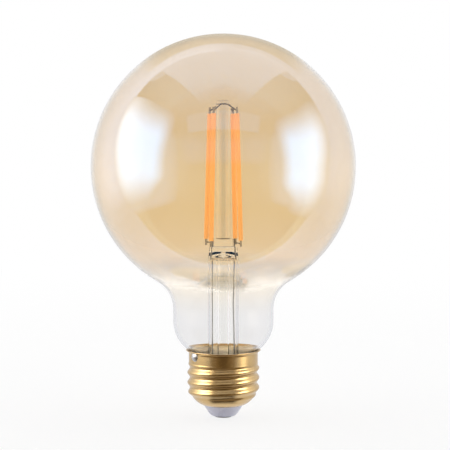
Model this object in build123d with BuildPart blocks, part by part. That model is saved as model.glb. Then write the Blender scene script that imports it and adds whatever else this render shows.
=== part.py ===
"""LED filament globe bulb with a screw cap, standing cap down.

Millimetres, +Z up the axis. The origin is the middle of the centre contact's lower face.
"""

from build123d import *
import math
import os

os.makedirs("parts", exist_ok=True)

# Screw cap: contact, insulator, and a shell of sheet brass with a rolled thread
contact_radius = 3.2
contact_thickness = 0.5
contact_edge = 0.3
shank_radius = 1.3
shank_length = 6.0
insulator_foot_radius = 4.2
insulator_waist_radius = 5.5
insulator_waist_height = 1.3
insulator_height = 3.9
insulator_depth = 3.0
shell_wall = 0.3
mouth_radius = 7.2
nose_curve = 6.8
core_radius = 12.15
crest_radius = 13.05
crest_curve = 1.0
flank_angle = 40.0
thread_pitch = 3.63
thread_length = 8.6
thread_top_drop = 1.5
thread_below_nose = 1.3
thread_below_skirt = 1.7
run_out_low = 2.3
run_out_high = 2.0
run_out_sink = 0.1
ridge_foot_depth = 0.25
ridge_root_depth = 1.2
skirt_radius = 12.5
skirt_step = 0.6
skirt_height = 4.9
lip_height = 1.3
lip_flare = 1.0
cap_fit = 0.05

# Side contact: a wire soldered in a hole of the skirt, close under the rim
side_angle = 214.5
side_drop = 1.7
side_hole_radius = 1.1
side_solder_radius = 1.75
side_solder_height = 0.8

# Glass envelope, in round curves that run into each other
globe_diameter = 95.0
glass_wall = 0.9
throat_curve = 12.0
neck_diameter = 36.2
neck_length = 4.2
shoulder_curve = 12.9
lip_room = 0.08
seat_curve = 2.0
seat_depth = 6.0
cement_thickness = 0.9
cement_margin = 0.25

# Stem: flared tube, flat press, exhaust tube and centre rod
tube_radius = 5.5
tube_wall = 0.95
tube_rise = 33.0
tube_end_curve = 1.4
press_width = 10.2
press_thickness = 5.6
press_taper = 2.6
press_height = 1.6
press_edge = 0.6
block_width = 7.2
block_height = 2.9
block_rim = 0.1
vent_radius = 0.9
exhaust_radius = 2.65
exhaust_wall = 0.9
exhaust_tip_gap = 1.5
rod_radius = 2.6
rod_rise = 4.8
rod_tip_curve = 1.2

# Wires
lead_radius = 0.25
lead_spread = 4.0
lead_bow = 0.4
cross_wire_radius = 0.22
hook_up_radius = 0.2
wire_bend = 0.8
weld_gap = 0.03

# Filaments: four strips that lean outwards to their feet
filament_turn = -35.0
filament_length = 45.3
filament_width = 1.7
filament_thickness = 1.2
filament_corner = 0.45
filament_top_radius = 6.0
filament_foot_radius = 7.6
filament_foot_drop = 0.3
strip_width = 0.9
strip_thickness = 0.3
pin_length = 2.3
top_wire_depth = 1.4
top_wire_reach = 2.0
top_wire_spread = 70.0

# Driver in the cap
board_radius = 9.5
board_thickness = 1.0
board_drop = 4.5
joint_radius = 0.85
joint_tip_radius = 0.4
joint_height = 0.6
wire_stub = 0.2
rectifier_size = (4.8, 4.0, 1.6)
rectifier_place = (4.0, 4.4)
chip_size = (5.0, 4.0, 1.5)
chip_place = (3.9, -4.7)
package_edge = 0.25
capacitor_radius = 2.6
capacitor_height = 4.4
capacitor_edge = 0.5
capacitor_place = (-4.6, 4.2)
fuse_radius = 1.1
fuse_length = 5.2
fuse_band_length = 0.9
fuse_band_rise = 0.08
fuse_place = (-3.0, -6.3)
live_place = (0.0, 1.7)
live_rise = 1.2
live_grip = 1.5
neutral_reach = 8.6
neutral_rise = 1.2
neutral_slope = 1.6
neutral_room = 0.05

# Heights of the cap, from the contact up
nose_centre = core_radius - nose_curve
mouth_z = contact_thickness + insulator_height
nose_z = mouth_z + math.sqrt(nose_curve**2 - (mouth_radius - nose_centre) ** 2)
skirt_z = nose_z + thread_length
cap_top = skirt_z + skirt_height
lip_z = cap_top - lip_height
side_z = cap_top - side_drop
insulator_top = mouth_z + insulator_depth
lip_curve = (lip_height**2 + lip_flare**2) / (2 * lip_flare)


def lip_reach(inset):
    """Radius of the rim's outer edge, or of its inner edge when set in by the wall."""
    return skirt_radius + lip_curve - math.sqrt((lip_curve + inset) ** 2 - lip_height**2)


# Heights and curve centres of the glass, whose shoulder clears the rim
globe_radius = globe_diameter / 2
neck_radius = neck_diameter / 2
shoulder_centre = neck_radius - shoulder_curve
lip_run = lip_reach(shell_wall) - shoulder_centre
shoulder_z = cap_top + math.sqrt((shoulder_curve + lip_room) ** 2 - lip_run**2)
throat_z = shoulder_z + neck_length
throat_centre = neck_radius + throat_curve
globe_z = throat_z + math.sqrt((globe_radius + throat_curve) ** 2 - throat_centre**2)
seat_radius = skirt_radius - shell_wall - cement_thickness
seat_centre = seat_radius + seat_curve
seat_run = seat_centre - shoulder_centre
seat_z = shoulder_z - math.sqrt((shoulder_curve + seat_curve) ** 2 - seat_run**2)
seat_bore = seat_radius - glass_wall
glass_end = cap_top - seat_depth
tube_bore = tube_radius - tube_wall
tube_end = cap_top + tube_rise
press_z = tube_end + press_taper
press_top = press_z + press_height
rod_z = press_top + block_height

# Heights of the filaments and the driver
filament_angles = [filament_turn + quarter * 90 for quarter in range(4)]
filament_foot = rod_z - filament_foot_drop
filament_top = filament_foot + filament_length
lean = (filament_foot_radius - filament_top_radius) / filament_length
rod_top = filament_top + rod_rise
board_top = glass_end - board_drop
board_under = board_top - board_thickness
exhaust_tip = board_top + exhaust_tip_gap


def polar(radius, angle, height=0.0):
    """Point at a radius and an angle, in degrees, round the bulb's axis."""
    return (radius * math.cos(math.radians(angle)), radius * math.sin(math.radians(angle)), height)


def toward(centre, other, distance):
    """Point at a distance from one centre on the line to another."""
    run = Vector(*other) - Vector(*centre)
    return Vector(*centre) + run.normalized() * distance


def wire(name, points, radius, bend):
    """Round wire along straight runs with rounded corners, written as its own piece."""
    with BuildPart() as piece:
        with BuildLine() as path:
            if len(points) == 2:
                Line(*points)
            else:
                FilletPolyline(*points, radius=bend)
        with BuildSketch(Plane(origin=path.line @ 0, z_dir=path.line % 0)):
            Circle(radius)
        sweep()
    piece.part.label = name
    export_step(piece.part, f"parts/{name}.step")
    return piece.part


# Globe: one blown glass wall from the top to the seat inside the cap
def envelope_curves(inset):
    """Outline of the glass from its top to its foot, set in from the outside."""
    globe_end = toward((0, globe_z), (throat_centre, throat_z), globe_radius - inset)
    shoulder_end = toward((shoulder_centre, shoulder_z), (seat_centre, seat_z), shoulder_curve - inset)
    neck = neck_radius - inset
    seat = seat_radius - inset
    RadiusArc((0, globe_z + globe_radius - inset), globe_end, globe_radius - inset)
    RadiusArc(globe_end, (neck, throat_z), -(throat_curve + inset))
    Line((neck, throat_z), (neck, shoulder_z))
    RadiusArc((neck, shoulder_z), shoulder_end, shoulder_curve - inset)
    RadiusArc(shoulder_end, (seat, seat_z), -(seat_curve + inset))
    Line((seat, seat_z), (seat, glass_end))


with BuildPart() as globe:
    with BuildSketch(Plane.XZ):
        with BuildLine():
            envelope_curves(0)
            envelope_curves(glass_wall)
            Line((0, globe_z + globe_radius), (0, globe_z + globe_radius - glass_wall))
            Line((seat_radius, glass_end), (seat_bore, glass_end))
        make_face()
    revolve(axis=Axis.Z)
globe.part.label = "globe"
export_step(globe.part, "parts/globe.step")

# Lead wires: straight on the left, bowed a little inwards in the tube on the right
lead_foot = board_under - joint_height - wire_stub
lead_left = wire(
    "lead_wire_left",
    [(-lead_spread, 0, lead_foot), (-lead_spread, 0, rod_z)],
    lead_radius,
    wire_bend,
)
lead_right = wire(
    "lead_wire_right",
    [
        (lead_spread, 0, lead_foot),
        (lead_spread, 0, cap_top),
        (lead_spread - lead_bow, 0, cap_top + tube_rise / 2),
        (lead_spread, 0, tube_end),
        (lead_spread, 0, rod_z),
    ],
    lead_radius,
    tube_rise,
)

# Stem: tube fused to the neck at its flared foot, closed by a flat press that grips the leads
flare_curve = seat_bore - tube_radius
flare_z = glass_end + tube_wall + flare_curve
with BuildPart() as stem:
    with BuildSketch(Plane.XZ):
        with BuildLine():
            Line((tube_bore - tube_end_curve, tube_end), (tube_radius, tube_end))
            Line((tube_radius, tube_end), (tube_radius, flare_z))
            RadiusArc((tube_radius, flare_z), (seat_bore, flare_z - flare_curve), -flare_curve)
            Line((seat_bore, flare_z - flare_curve), (seat_bore, glass_end))
            RadiusArc((seat_bore, glass_end), (tube_bore, flare_z), flare_curve + tube_wall)
            Line((tube_bore, flare_z), (tube_bore, tube_end - tube_end_curve))
            RadiusArc(
                (tube_bore, tube_end - tube_end_curve),
                (tube_bore - tube_end_curve, tube_end),
                -tube_end_curve,
            )
        make_face()
    revolve(axis=Axis.Z)
    with BuildSketch(Plane.XY.offset(tube_end)):
        Circle(tube_radius)
    with BuildSketch(Plane.XY.offset(press_z)):
        Ellipse(press_width / 2, press_thickness / 2)
    loft()
    with BuildSketch(Plane.XY.offset(press_z)):
        Ellipse(press_width / 2, press_thickness / 2)
    extrude(amount=press_height)
    fillet(stem.edges().group_by(Axis.Z)[-1], press_edge)
    with BuildSketch(Plane.XY.offset(press_top)):
        Ellipse(block_width / 2, rod_radius + block_rim)
    extrude(amount=block_height)
    with BuildSketch(Plane.XY.offset(tube_end)):
        Circle(vent_radius)
    extrude(amount=press_taper / 2, mode=Mode.SUBTRACT)
    with BuildSketch(Plane.XZ):
        with Locations((0, tube_end + press_taper / 2)):
            Circle(vent_radius)
    extrude(amount=tube_radius, mode=Mode.SUBTRACT)
    add(lead_left, mode=Mode.SUBTRACT)
    add(lead_right, mode=Mode.SUBTRACT)
stem.part.label = "stem"
export_step(stem.part, "parts/stem.step")

# Exhaust tube: open at the press, melted shut to a round tip above the board
exhaust_bore = exhaust_radius - exhaust_wall
tip_centre = exhaust_tip + exhaust_radius
with BuildPart() as exhaust_tube:
    with BuildSketch(Plane.XZ):
        with BuildLine():
            Line((exhaust_bore, tube_end), (exhaust_radius, tube_end))
            Line((exhaust_radius, tube_end), (exhaust_radius, tip_centre))
            RadiusArc((exhaust_radius, tip_centre), (0, exhaust_tip), exhaust_radius)
            Line((0, exhaust_tip), (0, tip_centre - exhaust_bore))
            RadiusArc((0, tip_centre - exhaust_bore), (exhaust_bore, tip_centre), -exhaust_bore)
            Line((exhaust_bore, tip_centre), (exhaust_bore, tube_end))
        make_face()
    revolve(axis=Axis.Z)
exhaust_tube.part.label = "exhaust_tube"
export_step(exhaust_tube.part, "parts/exhaust_tube.step")

# Filaments: a metal strip with a bare pin at both ends, and its phosphor coat
for number, angle in enumerate(filament_angles, start=1):
    foot = Vector(*polar(filament_foot_radius, angle, filament_foot))
    top = Vector(*polar(filament_top_radius, angle, filament_top))
    along = Plane(origin=foot, x_dir=polar(1, angle + 90), z_dir=top - foot)
    coat_length = (top - foot).length
    with BuildPart() as filament_strip:
        with BuildSketch(along.offset(-pin_length)):
            Rectangle(strip_width, strip_thickness)
        extrude(amount=coat_length + 2 * pin_length)
    filament_strip.part.label = f"filament_strip_{number}"
    export_step(filament_strip.part, f"parts/filament_strip_{number}.step")

    with BuildPart() as filament_coat:
        with BuildSketch(along):
            RectangleRounded(filament_width, filament_thickness, filament_corner)
        extrude(amount=coat_length)
        add(filament_strip.part, mode=Mode.SUBTRACT)
    filament_coat.part.label = f"filament_coat_{number}"
    export_step(filament_coat.part, f"parts/filament_coat_{number}.step")

# Cross wires: each joins one lead to the lower pins of the two filaments beside it
cross_z = filament_foot - pin_length / 2
pin_face = strip_thickness / 2 + cross_wire_radius + weld_gap
cross_reach = filament_foot_radius + lean * pin_length / 2 - pin_face
cross_middle = lead_spread + lead_radius + cross_wire_radius + weld_gap
for name, pair, lead_angle in (
    ("cross_wire_right", filament_angles[:2], 0),
    ("cross_wire_left", filament_angles[2:], 180),
):
    wire(
        name,
        [
            polar(cross_reach, pair[0], cross_z),
            polar(cross_middle, lead_angle, cross_z),
            polar(cross_reach, pair[1], cross_z),
        ],
        cross_wire_radius,
        wire_bend,
    )

# Top wires: each joins the upper pins of two filaments through the tip of the rod
top_pin_z = filament_top + pin_length / 2
top_reach = filament_top_radius - lean * pin_length / 2 - pin_face
top_wires = []
for name, from_angle in (("top_wire_front", filament_angles[0]), ("top_wire_back", filament_angles[2])):
    to_angle = from_angle - 90
    middle_angle = from_angle - 45
    points = [
        polar(top_reach, from_angle, top_pin_z),
        polar(top_wire_reach, middle_angle + top_wire_spread / 2, rod_top - top_wire_depth),
        polar(top_wire_reach, middle_angle - top_wire_spread / 2, rod_top - top_wire_depth),
        polar(top_reach, to_angle, top_pin_z),
    ]
    top_wires.append(wire(name, points, cross_wire_radius, wire_bend))

# Centre rod: fused on the press, with a fire-polished tip round the top wires
with BuildPart() as centre_rod:
    with BuildSketch(Plane.XY.offset(rod_z)):
        Circle(rod_radius)
    extrude(amount=rod_top - rod_z)
    fillet(centre_rod.edges().group_by(Axis.Z)[-1], rod_tip_curve)
    for top_wire in top_wires:
        add(top_wire, mode=Mode.SUBTRACT)
centre_rod.part.label = "centre_rod"
export_step(centre_rod.part, "parts/centre_rod.step")

# Hook-up wires: live down to the contact, neutral past the glass to the hole in the skirt
shank_top = contact_thickness + shank_length
live_bend_z = insulator_top + live_rise
live_wire = wire(
    "live_wire",
    [
        (live_place[0], live_place[1], board_top + joint_height + wire_stub),
        (live_place[0], live_place[1], live_bend_z + live_place[1]),
        (0, 0, live_bend_z),
        (0, 0, shank_top - live_grip),
    ],
    hook_up_radius,
    wire_bend,
)
neutral_gap = seat_radius + hook_up_radius + neutral_room
neutral_wire = wire(
    "neutral_wire",
    [
        polar(neutral_reach, side_angle, lead_foot),
        polar(neutral_reach, side_angle, board_top + neutral_rise),
        polar(neutral_gap, side_angle, board_top + neutral_rise + neutral_slope),
        polar(neutral_gap, side_angle, side_z),
        polar(skirt_radius + side_solder_height / 2, side_angle, side_z),
    ],
    hook_up_radius,
    wire_bend,
)

# Driver board: round, hung on the soldered wires, with its pieces on the underside
with BuildPart() as driver_board:
    with BuildSketch(Plane.XY.offset(board_under)):
        Circle(board_radius)
    extrude(amount=board_thickness)
    for soldered in (lead_left, lead_right, live_wire, neutral_wire):
        add(soldered, mode=Mode.SUBTRACT)
driver_board.part.label = "driver_board"
export_step(driver_board.part, "parts/driver_board.step")

neutral_place = polar(neutral_reach, side_angle)
with BuildPart() as solder_joints:
    under = [(lead_spread, 0), (-lead_spread, 0), neutral_place[:2]]
    with Locations(*[(x, y, board_under) for x, y in under]):
        Cone(joint_tip_radius, joint_radius, joint_height, align=(Align.CENTER, Align.CENTER, Align.MAX))
    with Locations((live_place[0], live_place[1], board_top)):
        Cone(joint_radius, joint_tip_radius, joint_height, align=(Align.CENTER, Align.CENTER, Align.MIN))
    for soldered in (lead_left, lead_right, live_wire, neutral_wire):
        add(soldered, mode=Mode.SUBTRACT)
solder_joints.part.label = "solder_joints"
export_step(solder_joints.part, "parts/solder_joints.step")

for name, size, place in (
    ("bridge_rectifier", rectifier_size, rectifier_place),
    ("driver_chip", chip_size, chip_place),
):
    with BuildPart() as package:
        with BuildSketch(Plane.XY.offset(board_under)):
            with Locations(place):
                Rectangle(size[0], size[1])
        extrude(amount=-size[2])
        chamfer(package.edges().group_by(Axis.Z)[0], package_edge)
    package.part.label = name
    export_step(package.part, f"parts/{name}.step")

with BuildPart() as smoothing_capacitor:
    with BuildSketch(Plane.XY.offset(board_under)):
        with Locations(capacitor_place):
            Circle(capacitor_radius)
    extrude(amount=-capacitor_height)
    fillet(smoothing_capacitor.edges().group_by(Axis.Z)[0], capacitor_edge)
smoothing_capacitor.part.label = "smoothing_capacitor"
export_step(smoothing_capacitor.part, "parts/smoothing_capacitor.step")

fuse_plane = Plane(
    origin=(fuse_place[0] - fuse_length / 2, fuse_place[1], board_under - fuse_radius - fuse_band_rise),
    x_dir=(0, 1, 0),
    z_dir=(1, 0, 0),
)
with BuildPart() as fuse_resistor:
    with BuildSketch(fuse_plane):
        Circle(fuse_radius)
    extrude(amount=fuse_length)
    with BuildSketch(fuse_plane, fuse_plane.offset(fuse_length - fuse_band_length)):
        Circle(fuse_radius + fuse_band_rise)
    extrude(amount=fuse_band_length)
fuse_resistor.part.label = "fuse_resistor"
export_step(fuse_resistor.part, "parts/fuse_resistor.step")

# Centre contact: button with a shank through the insulator that grips the live wire
with BuildPart() as centre_contact:
    with BuildSketch(Plane.XY):
        Circle(contact_radius)
    extrude(amount=contact_thickness)
    fillet(centre_contact.edges().group_by(Axis.Z)[0], contact_edge)
    with BuildSketch(Plane.XY.offset(contact_thickness)):
        Circle(shank_radius)
    extrude(amount=shank_length)
    add(live_wire, mode=Mode.SUBTRACT)
centre_contact.part.label = "centre_contact"
export_step(centre_contact.part, "parts/centre_contact.step")

# Insulator: plug that seats in the shell's nose and tapers down to the contact
plug_curve = nose_curve - shell_wall - cap_fit
plug_mouth = mouth_radius - cap_fit
plug_mouth_z = nose_z - math.sqrt(plug_curve**2 - (plug_mouth - nose_centre) ** 2)
plug_top_radius = nose_centre + math.sqrt(plug_curve**2 - (nose_z - insulator_top) ** 2)
waist_z = contact_thickness + insulator_waist_height
with BuildPart() as insulator:
    with BuildSketch(Plane.XZ):
        with BuildLine():
            Line((shank_radius, contact_thickness), (insulator_foot_radius, contact_thickness))
            TangentArc(
                (insulator_waist_radius, waist_z),
                (insulator_foot_radius, contact_thickness),
                tangent=(insulator_waist_radius - plug_mouth, waist_z - mouth_z),
                tangent_from_first=True,
            )
            Line((insulator_waist_radius, waist_z), (plug_mouth, mouth_z))
            Line((plug_mouth, mouth_z), (plug_mouth, plug_mouth_z))
            RadiusArc((plug_mouth, plug_mouth_z), (plug_top_radius, insulator_top), -plug_curve)
            Line((plug_top_radius, insulator_top), (shank_radius, insulator_top))
            Line((shank_radius, insulator_top), (shank_radius, contact_thickness))
        make_face()
    revolve(axis=Axis.Z)
insulator.part.label = "insulator"
export_step(insulator.part, "parts/insulator.step")


# Screw shell: thin brass, with the thread rolled through the whole sheet
def rolled_form(inset, top):
    """Solid up to the sheet's outer face, or up to its inner face when set in by the wall."""
    core = core_radius - inset
    crest = crest_radius - inset
    skirt = skirt_radius - inset
    nose = nose_curve - inset
    curve = crest_curve - inset
    steep = math.radians(flank_angle)
    curve_half = curve * math.sin(steep)
    curve_end = crest - curve + curve * math.cos(steep)
    ridge_foot = core - ridge_foot_depth
    ridge_half = curve_half + (curve_end - ridge_foot) / math.tan(steep)
    ridge_root = core - ridge_root_depth
    full_low = nose_z - thread_below_nose
    full_high = skirt_z - thread_below_skirt
    thread_low = full_low - run_out_low
    thread_high = full_high + run_out_high
    crest_z = skirt_z - thread_top_drop
    turns = math.ceil((crest_z - thread_low + ridge_half) / thread_pitch)
    helix_z = crest_z - turns * thread_pitch
    low_radius = nose_centre + math.sqrt(nose**2 - (nose_z - thread_low) ** 2) - run_out_sink
    mouth_low = nose_z - math.sqrt(nose**2 - (mouth_radius - nose_centre) ** 2)
    lip_radius = lip_reach(inset)
    with BuildPart() as form:
        with BuildLine():
            Helix(
                pitch=thread_pitch,
                height=thread_high + ridge_half - helix_z,
                radius=core,
                center=(0, 0, helix_z),
            )
        with BuildSketch(Plane.XZ):
            with BuildLine():
                Line((ridge_root, helix_z - ridge_half), (ridge_foot, helix_z - ridge_half))
                Line((ridge_foot, helix_z - ridge_half), (curve_end, helix_z - curve_half))
                ThreePointArc(
                    (curve_end, helix_z - curve_half), (crest, helix_z), (curve_end, helix_z + curve_half)
                )
                Line((curve_end, helix_z + curve_half), (ridge_foot, helix_z + ridge_half))
                Line((ridge_foot, helix_z + ridge_half), (ridge_root, helix_z + ridge_half))
                Line((ridge_root, helix_z + ridge_half), (ridge_root, helix_z - ridge_half))
            make_face()
        sweep(is_frenet=True)
        with BuildSketch(Plane.XZ):
            with BuildLine():
                Polyline(
                    (0, thread_low),
                    (low_radius, thread_low),
                    (crest + run_out_sink, full_low),
                    (crest + run_out_sink, full_high),
                    (core - run_out_sink, thread_high),
                    (0, thread_high),
                    close=True,
                )
            make_face()
        revolve(axis=Axis.Z, mode=Mode.INTERSECT)
        with BuildSketch(Plane.XZ):
            with BuildLine():
                Line((0, mouth_low), (mouth_radius, mouth_low))
                RadiusArc((mouth_radius, mouth_low), (core, nose_z), -nose)
                Line((core, nose_z), (core, skirt_z - skirt_step))
                Line((core, skirt_z - skirt_step), (skirt, skirt_z))
                Line((skirt, skirt_z), (skirt, lip_z))
                RadiusArc((skirt, lip_z), (lip_radius, cap_top), lip_curve + inset)
                if top > cap_top:
                    Line((lip_radius, cap_top), (lip_radius, top))
                Line((lip_radius, top), (0, top))
                Line((0, top), (0, mouth_low))
            make_face()
        revolve(axis=Axis.Z)
    return form.part


side_place = polar(skirt_radius, side_angle, side_z)
side_plane = Plane(origin=side_place, x_dir=(0, 0, 1), z_dir=polar(1, side_angle))
outer_form = rolled_form(0, cap_top)
inner_form = rolled_form(shell_wall, cap_top + lip_height)
with BuildPart() as screw_shell:
    add(outer_form)
    add(inner_form, mode=Mode.SUBTRACT)
    with BuildSketch(Plane.XY.offset(mouth_z)):
        Circle(mouth_radius)
    extrude(amount=insulator_depth, mode=Mode.SUBTRACT)
    with BuildSketch(side_plane):
        Circle(side_hole_radius)
    extrude(amount=2 * shell_wall, both=True, mode=Mode.SUBTRACT)
screw_shell.part.label = "screw_shell"
export_step(screw_shell.part, "parts/screw_shell.step")

# Side solder: a low dome under the rim that fills the hole round the neutral wire
dome_curve = (side_solder_radius**2 + side_solder_height**2) / (2 * side_solder_height)
dome_reach = skirt_radius + side_solder_height - dome_curve
with BuildPart() as side_solder:
    with Locations(polar(dome_reach, side_angle, side_z)):
        Sphere(dome_curve)
    with BuildSketch(Plane.XY.offset(cap_top)):
        Circle(skirt_radius + lip_flare)
    extrude(amount=dome_curve, mode=Mode.SUBTRACT)
    add(outer_form, mode=Mode.SUBTRACT)
    with BuildSketch(side_plane.offset(-shell_wall)):
        Circle(side_hole_radius)
    extrude(amount=shell_wall + side_solder_height / 2)
    add(neutral_wire, mode=Mode.SUBTRACT)
side_solder.part.label = "side_solder"
export_step(side_solder.part, "parts/side_solder.step")

# Cement ring: holds the glass in the skirt, with a slot that the neutral wire runs up
cement_low = skirt_z + cement_margin
cement_high = seat_z - cement_margin
slot_half = math.degrees(math.asin((hook_up_radius + neutral_room) / seat_radius))
slot_angle = side_angle + slot_half
slot_side = Plane(origin=(0, 0, 0), x_dir=polar(1, slot_angle), z_dir=polar(1, slot_angle - 90))
with BuildPart() as cement_ring:
    with BuildSketch(slot_side):
        with Locations((seat_radius, cement_low)):
            Rectangle(
                cement_thickness,
                cement_high - cement_low,
                align=(Align.MIN, Align.MIN),
            )
    revolve(axis=Axis.Z, revolution_arc=360 - 2 * slot_half)
cement_ring.part.label = "cement_ring"
export_step(cement_ring.part, "parts/cement_ring.step")
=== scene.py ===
"""Looks of an LED filament globe bulb that stands on its screw cap, in metres, +Z up the bulb's axis."""

import bpy
import math
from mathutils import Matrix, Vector


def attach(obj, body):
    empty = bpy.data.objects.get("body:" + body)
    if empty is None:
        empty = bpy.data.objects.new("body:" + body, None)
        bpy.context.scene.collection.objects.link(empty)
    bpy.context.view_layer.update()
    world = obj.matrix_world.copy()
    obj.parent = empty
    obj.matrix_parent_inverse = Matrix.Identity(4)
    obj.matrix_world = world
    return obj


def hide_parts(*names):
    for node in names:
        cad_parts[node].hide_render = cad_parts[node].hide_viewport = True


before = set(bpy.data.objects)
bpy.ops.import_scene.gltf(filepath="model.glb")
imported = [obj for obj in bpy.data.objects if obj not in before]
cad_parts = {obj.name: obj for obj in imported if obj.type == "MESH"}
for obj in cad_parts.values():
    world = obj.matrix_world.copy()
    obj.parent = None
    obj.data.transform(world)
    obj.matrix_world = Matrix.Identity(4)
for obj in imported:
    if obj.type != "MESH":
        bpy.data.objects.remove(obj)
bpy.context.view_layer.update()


# Centre contact: a pressed metal button at the foot of the cap, plated, with a shank
# that runs up through the insulator and grips the live wire. Its face is dulled by handling, and its
# near-black colour is painted shade.
MM = 0.001
plate_grain = 0.9 * MM
plate_scratch = 0.3 * MM
plate_depth = 0.03 * MM
# The plate colours are near black: painted shade at the bulb's foot.
plate_shade_dark = (0.06, 0.06, 0.055)
plate_shade_light = (0.13, 0.125, 0.12)


class Shade:
    """A socket among a material's nodes: arithmetic on it adds Math nodes."""

    def __init__(self, tree, socket):
        self.tree = tree
        self.socket = socket

    def node(self, kind, settings, links, output=0):
        """Adds a node: its settings first, then a value or a link for each named socket."""
        made = self.tree.nodes.new(kind)
        for name, setting in settings.items():
            setattr(made, name, setting)
        for name, value in links.items():
            if isinstance(value, Shade):
                self.tree.links.new(value.socket, made.inputs[name])
            else:
                made.inputs[name].default_value = value
        return Shade(self.tree, made.outputs[output])

    def math(self, operation, first, second=0.0):
        """Adds a Math node on one or two values."""
        return self.node("ShaderNodeMath", {"operation": operation}, {0: first, 1: second})

    def __add__(self, other):
        return self.math("ADD", self, other)

    __radd__ = __add__

    def __sub__(self, other):
        return self.math("SUBTRACT", self, other)

    def __rsub__(self, other):
        return self.math("SUBTRACT", other, self)

    def __mul__(self, other):
        return self.math("MULTIPLY", self, other)

    __rmul__ = __mul__

    def __truediv__(self, other):
        return self.math("DIVIDE", self, other)

    def __rtruediv__(self, other):
        return self.math("DIVIDE", other, self)

    def __abs__(self):
        return self.math("ABSOLUTE", self)

    def __gt__(self, other):
        return self.math("GREATER_THAN", self, other)

    def __lt__(self, other):
        return self.math("LESS_THAN", self, other)


def finish_of(name, fixed):
    """A material with its shader's fixed sockets set: returns it, those sockets and the surface point."""
    made = bpy.data.materials.new(name)
    made.use_nodes = True
    tree = made.node_tree
    shader = tree.nodes["Principled BSDF"]
    for socket, value in fixed.items():
        shader.inputs[socket].default_value = value
    place = tree.nodes.new("ShaderNodeTexCoord")
    return made, shader.inputs, Shade(tree, place.outputs["Object"])


def feed(socket, value):
    """Links a worked-out value to one of the shader's sockets."""
    value.tree.links.new(value.socket, socket)


def noise(point, size, detail=2.0):
    """Even mottling from 0 to 1 with features of about the given size."""
    return point.node("ShaderNodeTexNoise", {}, {"Vector": point, "Scale": 1 / size, "Detail": detail})


def between(factor, first, second):
    """Mixes two colours: sockets 0, 6 and 7 are the factor and the colours, and output 2 is the mix."""
    colours = [colour if isinstance(colour, Shade) else (*colour, 1) for colour in (first, second)]
    return factor.node("ShaderNodeMix", {"data_type": "RGBA"}, {0: factor, 6: colours[0], 7: colours[1]}, 2)


def dent(height, strength, depth):
    """A normal that a height from 0 to 1 bumps by the given depth."""
    return height.node("ShaderNodeBump", {}, {"Height": height, "Strength": strength, "Distance": depth})


def dress(material, *nodes):
    """Gives CAD nodes their finish."""
    for name in nodes:
        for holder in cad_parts[name].material_slots:
            holder.material = material


plate, plate_sockets, at_plate = finish_of("plated_contact", {"Metallic": 1.0})
plate_mottle = noise(at_plate, plate_grain, 4.0)
# Painted shade: the contact's metal is painted near black.
feed(plate_sockets["Base Color"], between(plate_mottle, plate_shade_dark, plate_shade_light))
feed(plate_sockets["Roughness"], 0.28 + 0.2 * plate_mottle)
feed(plate_sockets["Normal"], dent(noise(at_plate, plate_scratch), 0.3, plate_depth))
dress(plate, "centre_contact")


# Insulator: a moulded plug of bluish white plastic that seats in the nose of the cap
# and holds the contact off the brass. Its skin is smooth with a faint orange peel.
plug_grain = 4.0 * MM
plug_peel = 0.6 * MM
plug_depth = 0.04 * MM
plug_dark = (0.62, 0.63, 0.77)
plug_light = (0.68, 0.69, 0.81)
plug, plug_sockets, at_plug = finish_of("insulator_plastic", {"IOR": 1.5})
plug_mottle = noise(at_plug, plug_grain, 3.0)
feed(plug_sockets["Base Color"], between(plug_mottle, plug_dark, plug_light))
feed(plug_sockets["Roughness"], 0.22 + 0.12 * plug_mottle)
feed(plug_sockets["Normal"], dent(noise(at_plug, plug_peel), 0.25, plug_depth))
dress(plug, "insulator")


# Screw shell: thin brass sheet drawn to a cup, with the round thread rolled through the sheet,
# a plain skirt above it and a lip turned out at the rim. The glass is cemented into the skirt.
shell_wall = 0.3 * MM
mouth_radius = 7.2 * MM
mouth_z = 4.4 * MM
nose_curve = 6.8 * MM
core_radius = 12.15 * MM
thread_depth = 0.9 * MM
thread_pitch = 3.63 * MM
thread_length = 8.6 * MM
crest_drop = 1.5 * MM
run_in_low = 4.4 * MM
run_in_high = 2.0 * MM
run_out_low = 1.7 * MM
run_out_high = 0.5 * MM
skirt_radius = 12.5 * MM
skirt_step = 1.0 * MM
skirt_height = 4.9 * MM
lip_height = 1.3 * MM
lip_flare = 1.0 * MM
rim_curve = 0.15 * MM
nose_steps = 36
wall_steps = 100
lip_steps = 12
rim_steps = 10
shell_around = 200
crease_angle = math.radians(40)

nose_centre = core_radius - nose_curve
nose_z = mouth_z + math.sqrt(nose_curve**2 - (mouth_radius - nose_centre) ** 2)
skirt_z = nose_z + thread_length
cap_top = skirt_z + skirt_height
lip_z = cap_top - lip_height
lip_curve = (lip_height**2 + lip_flare**2) / (2 * lip_flare)
rim_centre = skirt_radius + lip_flare - rim_curve


def smooth(value, low, high):
    """Runs smoothly from 0 at low to 1 at high."""
    share = min(max((value - low) / (high - low), 0.0), 1.0)
    return share * share * (3 - 2 * share)


def arc(centre, radius, first, last, steps):
    """Points on an arc from one angle to another, without the last one."""
    turns = [first + (last - first) * step / steps for step in range(steps)]
    return [(centre[0] + radius * math.cos(turn), centre[1] + radius * math.sin(turn)) for turn in turns]


def face_rows(inset):
    """Radius and height up one face of the plain sheet, from the mouth to the foot of the lip."""
    nose = nose_curve - inset
    mouth_turn = math.asin((mouth_radius - nose_centre) / nose) - math.pi / 2
    rows = arc((nose_centre, nose_z), nose, mouth_turn, 0.0, nose_steps)
    for step in range(wall_steps + 1):
        height = nose_z + (lip_z - nose_z) * step / wall_steps
        opened = (skirt_radius - core_radius) * smooth(height, skirt_z - skirt_step, skirt_z)
        rows.append((core_radius - inset + opened, height))
    return rows


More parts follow.
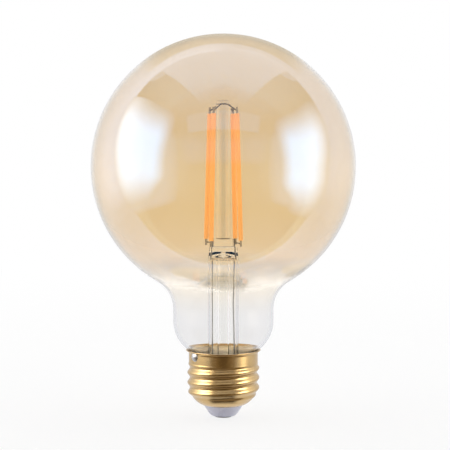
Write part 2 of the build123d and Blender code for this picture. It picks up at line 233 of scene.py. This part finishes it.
under_lip = []
for step in range(1, lip_steps):
    turn = math.pi / 2 * step / lip_steps
    flared = (rim_centre - skirt_radius) * (1 - math.cos(turn))
    raised = (lip_height - 2 * rim_curve) * math.sin(turn)
    under_lip.append((skirt_radius + flared, lip_z + raised))
rim = arc((rim_centre, cap_top - rim_curve), rim_curve, -math.pi / 2, math.pi / 2, rim_steps)
rim_top = [(rim_centre, cap_top)]
over_curve = lip_curve + shell_wall
over_turn = math.pi - math.asin(lip_height / over_curve)
over_lip = arc((skirt_radius + lip_curve, lip_z), over_curve, over_turn, math.pi, lip_steps)
outer_rows = face_rows(0.0)
inner_rows = face_rows(shell_wall)[::-1]
shell_rows = outer_rows + under_lip + rim + rim_top + over_lip + inner_rows + outer_rows[:1]


def shell_point(row, turn):
    """Radius and height of a row at an angle: the thread is rolled out between the nose and the skirt."""
    radius, height = shell_rows[row]
    begun = smooth(height, nose_z - run_in_low, nose_z - run_in_high)
    ended = smooth(height, skirt_z - run_out_low, skirt_z + run_out_high)
    wave = math.cos(2 * math.pi * (height - skirt_z + crest_drop) / thread_pitch - turn)
    return radius + begun * (1 - ended) * thread_depth * (0.5 + 0.5 * wave), height


def sheet_of(rows, around, point):
    """Corners and quads of a sheet round the axis: point gives radius and height by row and angle."""
    corners = []
    for row in range(rows):
        for step in range(around):
            turn = 2 * math.pi * step / around
            radius, height = point(row, turn)
            corners.append((radius * math.cos(turn), radius * math.sin(turn), height))
    faces = []
    for row in range(rows - 1):
        for step in range(around):
            following = (step + 1) % around
            low, high = row * around, (row + 1) * around
            faces.append((low + step, low + following, high + following, high + step))
    return corners, faces


def piece_of(name, corners, faces):
    """A smooth piece of the given faces, with its creases kept sharp."""
    mesh = bpy.data.meshes.new(name)
    mesh.from_pydata(corners, [], faces)
    mesh.polygons.foreach_set("use_smooth", [True] * len(faces))
    mesh.set_sharp_from_angle(angle=crease_angle)
    made = bpy.data.objects.new(name, mesh)
    bpy.context.scene.collection.objects.link(made)
    return made


def ease(value, low, high):
    """Runs smoothly from 0 at low to 1 at high, or back where low is the larger."""
    return value.node(
        "ShaderNodeMapRange",
        {"interpolation_type": "SMOOTHSTEP"},
        {"Value": value, "From Min": low, "From Max": high},
    )


def along(point, axis):
    """One coordinate of a point."""
    return point.node("ShaderNodeSeparateXYZ", {}, {"Vector": point}, axis)


def streaks(point, scale, detail):
    """Mottling drawn out into lines: scale is the features per metre along each axis."""
    drawn_out = point.node("ShaderNodeMapping", {}, {"Vector": point, "Scale": scale})
    return noise(drawn_out, 1.0, detail)


rolled_shell = piece_of("rolled_shell", *sheet_of(len(shell_rows), shell_around, shell_point))
rolling_scale = (60.0, 60.0, 2600.0)
rolling_depth = 0.02 * MM
stain_size = 3.0 * MM
lip_fade = 0.4 * MM
turned_in_limit = -1.0 * MM
brass_dark = (0.53, 0.36, 0.16)
brass_light = (0.61, 0.43, 0.21)
# The inside colour is painted light: pale and matt, for the light that reaches the inside of the cap.
inside_painted_light = (0.86, 0.71, 0.46)
brass, brass_sockets, at_brass = finish_of("rolled_brass", {"IOR": 1.5})
brass_lines = streaks(at_brass, rolling_scale, 3.0)
brass_stain = noise(at_brass, stain_size, 3.0)
brass_facing = at_brass.node("ShaderNodeNewGeometry", {}, {}, "Normal")
brass_radius = at_brass.node("ShaderNodeVectorMath", {"operation": "MULTIPLY"}, {0: at_brass, 1: (1, 1, 0)})
outwardness = at_brass.node(
    "ShaderNodeVectorMath", {"operation": "DOT_PRODUCT"}, {0: brass_facing, 1: brass_radius}, "Value"
)
# Painted light: the shell's inner face below the lip is painted pale and matt instead of brass.
inner_face_painted_light = (outwardness < turned_in_limit) * ease(along(at_brass, "Z"), cap_top - lip_fade, lip_z)
bright_brass = between(brass_stain, brass_dark, brass_light)
feed(brass_sockets["Base Color"], between(inner_face_painted_light, bright_brass, inside_painted_light))
feed(brass_sockets["Roughness"], 0.17 + 0.05 * brass_lines + 0.05 * brass_stain + 0.35 * inner_face_painted_light)
feed(brass_sockets["Metallic"], 1 - 0.95 * inner_face_painted_light)
feed(brass_sockets["Normal"], dent(brass_lines, 0.05, rolling_depth))
rolled_shell.data.materials.append(brass)
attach(rolled_shell, "root")
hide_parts("screw_shell")


# Driver: a round board of glass-fibre laminate inside the cap, hung on the soldered wires,
# with a rectifier, a control chip, a sleeved capacitor and a dipped fuse resistor below it.
weave_scale = (3000.0, 3000.0, 1000.0)
laminate_dark = (0.60, 0.53, 0.36)
laminate_light = (0.72, 0.66, 0.48)
board, board_sockets, at_board = finish_of("driver_laminate", {"IOR": 1.5})
weave = streaks(at_board, weave_scale, 4.0)
feed(board_sockets["Base Color"], between(weave, laminate_dark, laminate_light))
feed(board_sockets["Roughness"], 0.35 + 0.2 * weave)
dress(board, "driver_board")

grit_size = 0.2 * MM
grit_depth = 0.03 * MM
package_dark = (0.012, 0.012, 0.012)
package_light = (0.035, 0.035, 0.035)
package, package_sockets, at_package = finish_of("moulded_package", {"IOR": 1.5})
grit = noise(at_package, grit_size, 3.0)
feed(package_sockets["Base Color"], between(grit, package_dark, package_light))
feed(package_sockets["Roughness"], 0.5 + 0.2 * grit)
feed(package_sockets["Normal"], dent(grit, 0.3, grit_depth))
dress(package, "bridge_rectifier", "driver_chip")

shrink_size = 2.0 * MM
sleeve_dark = (0.02, 0.03, 0.06)
sleeve_light = (0.04, 0.05, 0.09)
sleeve, sleeve_sockets, at_sleeve = finish_of("capacitor_sleeve", {"IOR": 1.5})
shrink = noise(at_sleeve, shrink_size)
feed(sleeve_sockets["Base Color"], between(shrink, sleeve_dark, sleeve_light))
feed(sleeve_sockets["Roughness"], 0.2 + 0.15 * shrink)
dress(sleeve, "smoothing_capacitor")

dip_grain = 1.5 * MM
dip_dark = (0.20, 0.36, 0.42)
dip_light = (0.28, 0.45, 0.50)
dip, dip_sockets, at_dip = finish_of("dipped_coat", {"IOR": 1.5})
dip_mottle = noise(at_dip, dip_grain)
feed(dip_sockets["Base Color"], between(dip_mottle, dip_dark, dip_light))
feed(dip_sockets["Roughness"], 0.35 + 0.15 * dip_mottle)
dress(dip, "fuse_resistor")

tin_grain = 0.6 * MM
tin_dark = (0.58, 0.57, 0.55)
tin_light = (0.72, 0.71, 0.69)
tin, tin_sockets, at_tin = finish_of("tinned_wire", {"Metallic": 1.0})
tin_mottle = noise(at_tin, tin_grain)
feed(tin_sockets["Base Color"], between(tin_mottle, tin_dark, tin_light))
feed(tin_sockets["Roughness"], 0.25 + 0.15 * tin_mottle)
dress(tin, "live_wire", "neutral_wire")


# Solder: bright tin melted over the neutral wire on the skirt and round the wires at the board.
# It sets with a shiny, slightly wrinkled skin.
wrinkle_size = 1.1 * MM
wrinkle_depth = 0.15 * MM
solder_dark = (0.42, 0.42, 0.43)
solder_light = (0.56, 0.56, 0.57)
solder, solder_sockets, at_solder = finish_of("bright_solder", {"Metallic": 1.0})
wrinkle = noise(at_solder, wrinkle_size, 3.0)
feed(solder_sockets["Base Color"], between(wrinkle, solder_dark, solder_light))
feed(solder_sockets["Roughness"], 0.3 + 0.2 * wrinkle)
feed(solder_sockets["Normal"], dent(wrinkle, 0.35, wrinkle_depth))
dress(solder, "side_solder", "solder_joints")


# Cement ring: baked capping cement between the glass seat and the skirt, buff and matt.
# It is spread as a paste and cures in the oven.
grain_size = 0.5 * MM
grain_depth = 0.1 * MM
cement_dark = (0.78, 0.68, 0.50)
cement_light = (0.88, 0.78, 0.60)
paste, paste_sockets, at_paste = finish_of("baked_cement", {"IOR": 1.5})
grains = noise(at_paste, grain_size, 4.0)
feed(paste_sockets["Base Color"], between(grains, cement_dark, cement_light))
feed(paste_sockets["Roughness"], 0.75 + 0.2 * grains)
feed(paste_sockets["Normal"], dent(grains, 0.5, grain_depth))
dress(paste, "cement_ring")


# Stem: a flared tube of clear soda glass fused to the foot of the neck and pinched flat at its top,
# with the exhaust tube inside it and a solid, glossier rod standing on the pinch.
drawing_scale = (900.0, 900.0, 40.0)
drawing_depth = 0.02 * MM
tube_dark = (0.99, 0.99, 0.985)
tube_light = (1.0, 1.0, 0.995)
clear, clear_sockets, at_clear = finish_of("clear_glass", {"Transmission Weight": 1.0, "IOR": 1.2})
tube_lines = streaks(at_clear, drawing_scale, 2.0)
feed(clear_sockets["Base Color"], between(tube_lines, tube_dark, tube_light))
feed(clear_sockets["Roughness"], 0.004 + 0.01 * tube_lines)
feed(clear_sockets["Normal"], dent(tube_lines, 0.02, drawing_depth))
dress(clear, "stem", "exhaust_tube")

rod_dark = (0.98, 0.975, 0.97)
rod_light = (1.0, 0.995, 0.99)
rod_gloss = {"Coat Weight": 1.0, "Coat IOR": 2.0, "Coat Roughness": 0.08}
rod_glass = {"Transmission Weight": 1.0, "IOR": 1.25}
drawn_rod, rod_sockets, at_rod = finish_of("drawn_rod", rod_glass | rod_gloss)
rod_lines = streaks(at_rod, drawing_scale, 2.0)
feed(rod_sockets["Base Color"], between(rod_lines, rod_dark, rod_light))
feed(rod_sockets["Roughness"], 0.004 + 0.01 * rod_lines)
dress(drawn_rod, "centre_rod")


# Wires: nickel-plated leads sealed in the pinch, with finer wires welded across to the filaments
# and over the tip of the rod. Drawn wire, grey, with fine lines along it.
wire_scale = (9000.0, 9000.0, 300.0)
nickel_dark = (0.25, 0.24, 0.22)
nickel_light = (0.40, 0.38, 0.35)
nickel, nickel_sockets, at_nickel = finish_of("drawn_nickel", {"Metallic": 1.0})
wire_lines = streaks(at_nickel, wire_scale, 2.0)
feed(nickel_sockets["Base Color"], between(wire_lines, nickel_dark, nickel_light))
feed(nickel_sockets["Roughness"], 0.25 + 0.15 * wire_lines)
dress(nickel, "lead_wire_left", "lead_wire_right")
dress(nickel, "cross_wire_left", "cross_wire_right")
dress(nickel, "top_wire_front", "top_wire_back")


# Filaments: a stamped metal strip with light-emitting chips, moulded round with silicone
# that holds yellow-orange phosphor. The bare ends of the strip are welded to the wires.
filament_numbers = range(1, 5)
stamp_grain = 0.8 * MM
strip_dark = (0.42, 0.40, 0.36)
strip_light = (0.55, 0.53, 0.48)
strip, strip_sockets, at_strip = finish_of("filament_strip", {"Metallic": 1.0})
stamp = noise(at_strip, stamp_grain)
feed(strip_sockets["Base Color"], between(stamp, strip_dark, strip_light))
feed(strip_sockets["Roughness"], 0.25 + 0.15 * stamp)
dress(strip, *[f"filament_strip_{number}" for number in filament_numbers])

settling_size = 1.2 * MM
pore_size = 0.5 * MM
pore_depth = 0.05 * MM
phosphor_dark = (0.98, 0.50, 0.19)
phosphor_light = (1.0, 0.58, 0.25)
# Painted glow: the phosphor coat gives off light at half strength in its own colour.
phosphor_and_glow_fixed = {"IOR": 1.41, "Emission Strength": 0.5}
phosphor, phosphor_sockets, at_phosphor = finish_of("phosphor_silicone", phosphor_and_glow_fixed)
settling = noise(at_phosphor, settling_size, 3.0)
phosphor_and_glow_colour = between(settling, phosphor_dark, phosphor_light)
feed(phosphor_sockets["Base Color"], phosphor_and_glow_colour)
feed(phosphor_sockets["Emission Color"], phosphor_and_glow_colour)
feed(phosphor_sockets["Roughness"], 0.45 + 0.2 * settling)
feed(phosphor_sockets["Normal"], dent(noise(at_phosphor, pore_size), 0.3, pore_depth))
dress(phosphor, *[f"filament_coat_{number}" for number in filament_numbers])


# Globe: one blown bulb of thin glass, sealed to the stem at its foot. A metal-oxide film sprayed
# on the outside tints it amber and makes it shine, and fades out where the neck begins.
globe_radius = 47.5 * MM
glass_wall = 0.9 * MM
throat_curve = 12.0 * MM
neck_radius = 18.1 * MM
neck_length = 4.2 * MM
shoulder_curve = 12.9 * MM
lip_room = 0.08 * MM
cement_thickness = 0.9 * MM
seat_curve = 2.0 * MM
seat_depth = 6.0 * MM
globe_steps = 150
bend_steps = 26
neck_steps = 6
seat_steps = 10
globe_around = 192

seat_radius = skirt_radius - shell_wall - cement_thickness
shoulder_centre = neck_radius - shoulder_curve
lip_bore = skirt_radius + lip_curve - math.sqrt(over_curve**2 - lip_height**2)
shoulder_z = cap_top + math.sqrt((shoulder_curve + lip_room) ** 2 - (lip_bore - shoulder_centre) ** 2)
throat_z = shoulder_z + neck_length
throat_centre = neck_radius + throat_curve
globe_z = throat_z + math.sqrt((globe_radius + throat_curve) ** 2 - throat_centre**2)
seat_centre = seat_radius + seat_curve
seat_z = shoulder_z - math.sqrt((shoulder_curve + seat_curve) ** 2 - (seat_centre - shoulder_centre) ** 2)
glass_end = cap_top - seat_depth


def glass_outline(inset):
    """Outline of the glass from the top of the globe to its foot, set in from the outside."""
    throat_turn = math.atan2(throat_z - globe_z, throat_centre)
    seat_turn = math.atan2(seat_z - shoulder_z, seat_centre - shoulder_centre)
    points = arc((0, globe_z), globe_radius - inset, math.pi / 2, throat_turn, globe_steps)
    points += arc((throat_centre, throat_z), throat_curve + inset, throat_turn + math.pi, math.pi, bend_steps)
    for step in range(neck_steps):
        points.append((neck_radius - inset, throat_z - neck_length * step / neck_steps))
    points += arc((shoulder_centre, shoulder_z), shoulder_curve - inset, 0.0, seat_turn, bend_steps)
    points += arc((seat_centre, seat_z), seat_curve + inset, seat_turn + math.pi, math.pi, seat_steps)
    points += [(seat_radius - inset, seat_z), (seat_radius - inset, glass_end)]
    return points


def turned(outline, around):
    """Corners and faces of a solid turned from an outline whose first and last points lie on the axis."""
    rows = outline[1:-1]
    corners, faces = sheet_of(len(rows), around, lambda row, turn: rows[row])
    last_row = (len(rows) - 1) * around
    corners += [(0, 0, outline[0][1]), (0, 0, outline[-1][1])]
    for step in range(around):
        following = (step + 1) % around
        faces.append((len(corners) - 2, following, step))
        faces.append((len(corners) - 1, last_row + step, last_row + following))
    return corners, [face[::-1] for face in faces]


globe_outline = glass_outline(0.0) + glass_outline(glass_wall)[::-1]
blown = piece_of("blown_globe", *turned(globe_outline, globe_around))

cloud_size = 20.0 * MM
crown_low, crown_high = 88.0 * MM, 106.0 * MM
belly_low, belly_high = 58.0 * MM, 78.0 * MM
fade_low, fade_high = 50.0 * MM, 60.0 * MM
film_low, film_high = 46.5 * MM, 58.0 * MM
tint_low, tint_high = 36.0 * MM, 53.0 * MM
crown_drift, film_drift, tint_drift = 6.0 * MM, 1.0 * MM, 2.0 * MM
film_dark = (0.875, 0.765, 0.585)
film_light = (0.895, 0.785, 0.605)
film_belly = (0.905, 0.80, 0.655)
film_thin = (0.94, 0.885, 0.79)
film_crown = (0.855, 0.755, 0.60)
bare_neck = (0.92, 0.915, 0.915)
bare_tinted = (0.96, 0.915, 0.845)
film_shine = (0.13, 0.42, 1.0, 1)
film_fixed = {"Transmission Weight": 1.0, "IOR": 1.9, "Specular Tint": film_shine}
amber, amber_sockets, at_amber = finish_of("amber_glass", film_fixed)
glass_height = along(at_amber, "Z")
cloud = noise(at_amber, cloud_size)
crown = ease(glass_height + crown_drift * cloud, crown_low, crown_high)
film = between(cloud, film_dark, film_light)
low_film = between(ease(glass_height, belly_high, belly_low), film, film_belly)
thin_film = between(ease(glass_height, fade_high, fade_low), low_film, film_thin)
feed(amber_sockets["Base Color"], between(crown, thin_film, film_crown))
feed(amber_sockets["Roughness"], 0.002 + 0.004 * cloud)
edge_tint = ease(glass_height + tint_drift * cloud, tint_low, tint_high)
bare = at_amber.node(
    "ShaderNodeBsdfPrincipled",
    {},
    {
        "Base Color": between(edge_tint, bare_neck, bare_tinted),
        "Roughness": 0.003 + 0.004 * cloud,
        "Transmission Weight": 1.0,
        "IOR": 1.2,
        "Specular IOR Level": 0.3,
    },
)
filmed = ease(glass_height + film_drift * cloud, film_low, film_high)
film_shader = Shade(amber.node_tree, amber.node_tree.nodes["Principled BSDF"].outputs[0])
coated = at_amber.node("ShaderNodeMixShader", {}, {0: filmed, 1: bare, 2: film_shader})
feed(amber.node_tree.nodes["Material Output"].inputs["Surface"], coated)
blown.data.materials.append(amber)
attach(blown, "root")
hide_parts("globe")


# Floor: a plain white studio table that runs on out of sight and keeps the bulb's soft shadow.
# Mirrored rays pass through it to the lamps below, apart from a painted shadow: a dusky patch before and
# behind the foot.
floor_reach = 3.0
near_white = 0.8
near_reach, far_reach = 120.0 * MM, 600.0 * MM
foot_shadow_inside, foot_shadow_from = 9.5 * MM, 11.0 * MM
foot_shadow_to, foot_shadow_outside = 13.5 * MM, 16.0 * MM
foot_shadow_middle, foot_shadow_side = 0.45, 0.8
mottle_size = 50.0 * MM
table_dark = (0.93, 0.93, 0.93)
table_light = (0.95, 0.95, 0.95)
foot_shadow_colour = (1.0, 0.8, 0.6, 1)
foot_shadow_strength = 0.1


def larger(first, second):
    """The larger of two values."""
    return first.math("MAXIMUM", first, second)


floor_corners = [(x * floor_reach, y * floor_reach, 0) for x, y in ((-1, -1), (1, -1), (1, 1), (-1, 1))]
floor_mesh = bpy.data.meshes.new("floor")
floor_mesh.from_pydata(floor_corners, [], [(0, 1, 2, 3)])
floor = bpy.data.objects.new("floor", floor_mesh)
bpy.context.scene.collection.objects.link(floor)
table, table_sockets, at_table = finish_of("white_table", {"Roughness": 0.9, "Specular IOR Level": 0.0})
feed(table_sockets["Base Color"], between(noise(at_table, mottle_size), table_dark, table_light))
ray = at_table.tree.nodes.new("ShaderNodeLightPath").outputs
camera_ray = Shade(at_table.tree, ray["Is Camera Ray"])
glossy_ray = Shade(at_table.tree, ray["Is Glossy Ray"])
passing_ray = Shade(at_table.tree, ray["Is Transmission Ray"])
mirrored = Shade(at_table.tree, ray["Glossy Depth"]) > 0.5
seen = larger(larger(camera_ray, glossy_ray), passing_ray)
reach = at_table.node("ShaderNodeVectorMath", {"operation": "LENGTH"}, {0: at_table}, "Value")
whiteness = seen * (near_white + (1 - near_white) * ease(reach, near_reach, far_reach))
table_shader = Shade(at_table.tree, at_table.tree.nodes["Principled BSDF"].outputs[0])
glow = at_table.node("ShaderNodeEmission", {}, {"Color": (1, 1, 1, 1)})
lit = at_table.node("ShaderNodeMixShader", {}, {0: whiteness, 1: table_shader, 2: glow})
clear_way = at_table.node("ShaderNodeBsdfTransparent", {}, {})
# Painted shadow: a dim warm glow that mirrored rays meet in a ring near the foot.
dusk = at_table.node("ShaderNodeEmission", {}, {"Color": foot_shadow_colour, "Strength": foot_shadow_strength})
beside = abs(along(at_table, "X")) / reach
foot_shadow_ring = ease(reach, foot_shadow_outside, foot_shadow_to) * ease(reach, foot_shadow_inside, foot_shadow_from)
foot_shadow_mask = foot_shadow_ring * ease(beside, foot_shadow_side, foot_shadow_middle)
foot = at_table.node("ShaderNodeMixShader", {}, {0: foot_shadow_mask, 1: clear_way, 2: dusk})
shown = at_table.node("ShaderNodeMixShader", {}, {0: mirrored, 1: lit, 2: foot})
feed(at_table.tree.nodes["Material Output"].inputs["Surface"], shown)
table.cycles.emission_sampling = "NONE"
floor_mesh.materials.append(table)


# Studio lamps: a dome round the bulb that only mirrored light meets, and the eye looks through. It holds
# a white sweep behind, a soft box on each side, a panel overhead and a strip in front, in a dim room.
dome_radius = 0.24
dome_place = (0, -0.036, globe_z)
degree = math.radians(1.0)
above_zero = 0.001
bpy.ops.mesh.primitive_uv_sphere_add(segments=64, ring_count=32, radius=dome_radius, location=dome_place)
dome = bpy.context.object
dome.name = "lamp_dome"
lamps, _, at_lamp = finish_of("studio_lamps", {})
toward = at_lamp.node("ShaderNodeVectorMath", {"operation": "NORMALIZE"}, {0: at_lamp})
across = along(toward, "X")
back = along(toward, "Y")
up = along(toward, "Z")
side = abs(across)
over = larger(up, above_zero)
deep = larger(back, above_zero)
bearing = toward.math("ARCTAN2", side, 0.0 - back)
rise = toward.math("ARCSINE", up)
right = ease(across, -0.1, 0.1)
way = lamps.node_tree.nodes.new("ShaderNodeLightPath").outputs
turned_back = Shade(lamps.node_tree, way["Glossy Depth"]) > 0.5
crossings = Shade(lamps.node_tree, way["Transmission Depth"])
inside = crossings > 2.5
deep_inside = crossings > 6.5

sweep_dim = 0.9
sweep_left, sweep_right = 1.25, 0.5
sweep_edge = back - 0.28 * larger(up, -0.55)
rear_wall = ease(side / over, 0.95, 0.5) * ease(up / deep, 1.3, 1.22)
sweep_base = sweep_dim + 0.13 * ease(rise, -15 * degree, 0.0) + 0.2 * ease(rise, -35 * degree, -55 * degree)
sweep_wing = ease(back, 0.8, 0.25) * ease(rise, -26 * degree, -8 * degree)
sweep_level = sweep_base + (sweep_left - (sweep_left - sweep_right) * right) * sweep_wing
sweep = ease(sweep_edge, 0.14, 0.2) * sweep_level * (1 - 0.24 * rear_wall)

box_strength = 6.2
box_tilt = 6 * degree
box_level = rise + box_tilt * (right - 0.5)
box_outer = ease(back - 0.33 * up - 0.28 * side, 0.0, -0.03)
box_top = ease(up - 0.97 * side + 0.31 * back, 0.0, -0.03)
box_taper = 10 * degree * ease(box_level, -8 * degree, -24 * degree)
box_inner = ease(bearing - box_taper, 46 * degree, 66 * degree)
box_rise = ease(box_level, -35 * degree, -2 * degree) * ease(box_level, 46 * degree, 18 * degree)
box_fade_start = 115 * degree - 9 * degree * right
box_fade_end = 89 * degree - 12 * degree * right
box_fade = 0.14 + 0.86 * ease(bearing - 0.4 * larger(rise, 0.0), box_fade_start, box_fade_end)
box_face = box_outer * box_top * box_inner * box_rise
soft_box = box_strength * box_fade * box_face * (1 - 0.8 * inside)

panel_strength = 1.5
strip_strength = 0.8
panel_side = side / over - 0.28 * back / over
panel_depth = ease(back / over, -1.05, 0.05) * ease(back / over, 0.8, 0.6)
panel_face = ease(panel_side, 0.56, 0.5) * panel_depth
panel_corner = ease(0.51 * side + 0.386 * back + 0.769 * up, 0.991, 0.9945)
front_strip = ease(side, 0.54, 0.46) * ease(back / over, -1.56, -1.42) * ease(back / over, -0.72, -0.84)
overhead = larger(larger(panel_strength * panel_face, panel_corner), strip_strength * front_strip)
panel = overhead * (1 - 0.85 * inside)

room_dim = 0.18
wall_strength = 1.05
dim = larger(ease(rise, 8 * degree, 62 * degree), 0.5 * ease(side, 0.1, 0.6))
wall_rise = ease(rise, -33 * degree, -24 * degree) * ease(rise, 45 * degree, 20 * degree)
side_wall = wall_strength * ease(side, 0.5, 0.82) * wall_rise
front_glow = ease(rise, 0.0, 10 * degree) * ease(rise, 34 * degree, 18 * degree) * ease(side, 0.7, 0.4)
low_dark = 0.1 * ease(rise, -24 * degree, -38 * degree)
low_glow = 0.3 * ease(rise, -55 * degree, -75 * degree)
room = room_dim - low_dark + 0.36 * dim + 0.28 * front_glow + low_glow
pale = 0.06 * inside + 0.75 * deep_inside
walls = larger(room, side_wall) + pale
mirrored_light = larger(larger(walls, sweep), larger(soft_box, panel))

dusk_colour = (1.0, 0.72, 0.42)
lamp_colour = (0.96, 0.97, 1.0)
box_colour = (1.0, 0.94, 0.84)
wall_colour = (1.0, 0.92, 0.78)
dusk_tone = between(ease(mirrored_light, 0.2, 0.55), dusk_colour, lamp_colour)
box_tone = between(ease(soft_box, 0.5, 2.0), dusk_tone, box_colour)
wall_tone = between(rear_wall, box_tone, wall_colour)
lamp_glow = at_lamp.node(
    "ShaderNodeVectorMath", {"operation": "SCALE"}, {0: wall_tone, "Scale": mirrored_light}
)
lamp_light = at_lamp.node("ShaderNodeEmission", {}, {"Color": lamp_glow})
see_through = at_lamp.node("ShaderNodeBsdfTransparent", {}, {})
lamp_face = at_lamp.node("ShaderNodeMixShader", {}, {0: turned_back, 1: see_through, 2: lamp_light})
feed(lamps.node_tree.nodes["Material Output"].inputs["Surface"], lamp_face)
lamps.cycles.emission_sampling = "NONE"
dome.data.materials.append(lamps)


# Studio air: soft white light, strongest from the sides and the back, and plain white to the eye.
# What lies behind the glass gets back the light that the panes take on its way in.
front_level = 0.37
top_gain = 0.3
back_gain = 0.45
side_gain = 0.95
globe_gain = 1.0
stem_gain = 2.8
tube_gain = 2.0
studio = bpy.data.worlds.new("studio")
bpy.context.scene.world = studio
studio.use_nodes = True
studio.cycles.sampling_method = "NONE"
studio_tree = studio.node_tree
outward = Shade(studio_tree, studio_tree.nodes.new("ShaderNodeTexCoord").outputs["Generated"])
path = studio_tree.nodes.new("ShaderNodeLightPath").outputs
scattered = Shade(studio_tree, path["Diffuse Depth"]) > 0.5
direct_scatter = Shade(studio_tree, path["Is Diffuse Ray"])
panes = Shade(studio_tree, path["Transmission Depth"])
in_globe = panes > 2.5
in_stem = panes > 6.5
in_tube = panes > 10.5
level_light = front_level + top_gain * along(outward, "Z")
even_light = level_light + back_gain * along(outward, "Y") + side_gain * abs(along(outward, "X"))
given_back = 1 + scattered * (globe_gain * in_globe + stem_gain * in_stem + tube_gain * in_tube)
air_light = direct_scatter * even_light + (1 - direct_scatter) * given_back
feed(studio_tree.nodes["Background"].inputs["Color"], air_light)


# Camera: a little above the globe's middle, at arm's length, with a long lens, looking slightly down.
# Light may cross many panes of glass on its way to it.
camera_place = (0.0, -0.549, 0.102)
camera_target = (0.0006, 0.0, 0.0695)
pane_limit = 32
camera_data = bpy.data.cameras.new("camera")
camera_data.lens = 122.2
camera_data.sensor_width = 36.0
camera = bpy.data.objects.new("camera", camera_data)
camera.location = camera_place
aim = Vector(camera_target) - Vector(camera_place)
camera.rotation_euler = aim.to_track_quat("-Z", "Y").to_euler()
bpy.context.scene.collection.objects.link(camera)
bpy.context.scene.camera = camera
bpy.context.scene.view_settings.view_transform = "Standard"
bpy.context.scene.cycles.max_bounces = pane_limit
bpy.context.scene.cycles.transmission_bounces = pane_limit
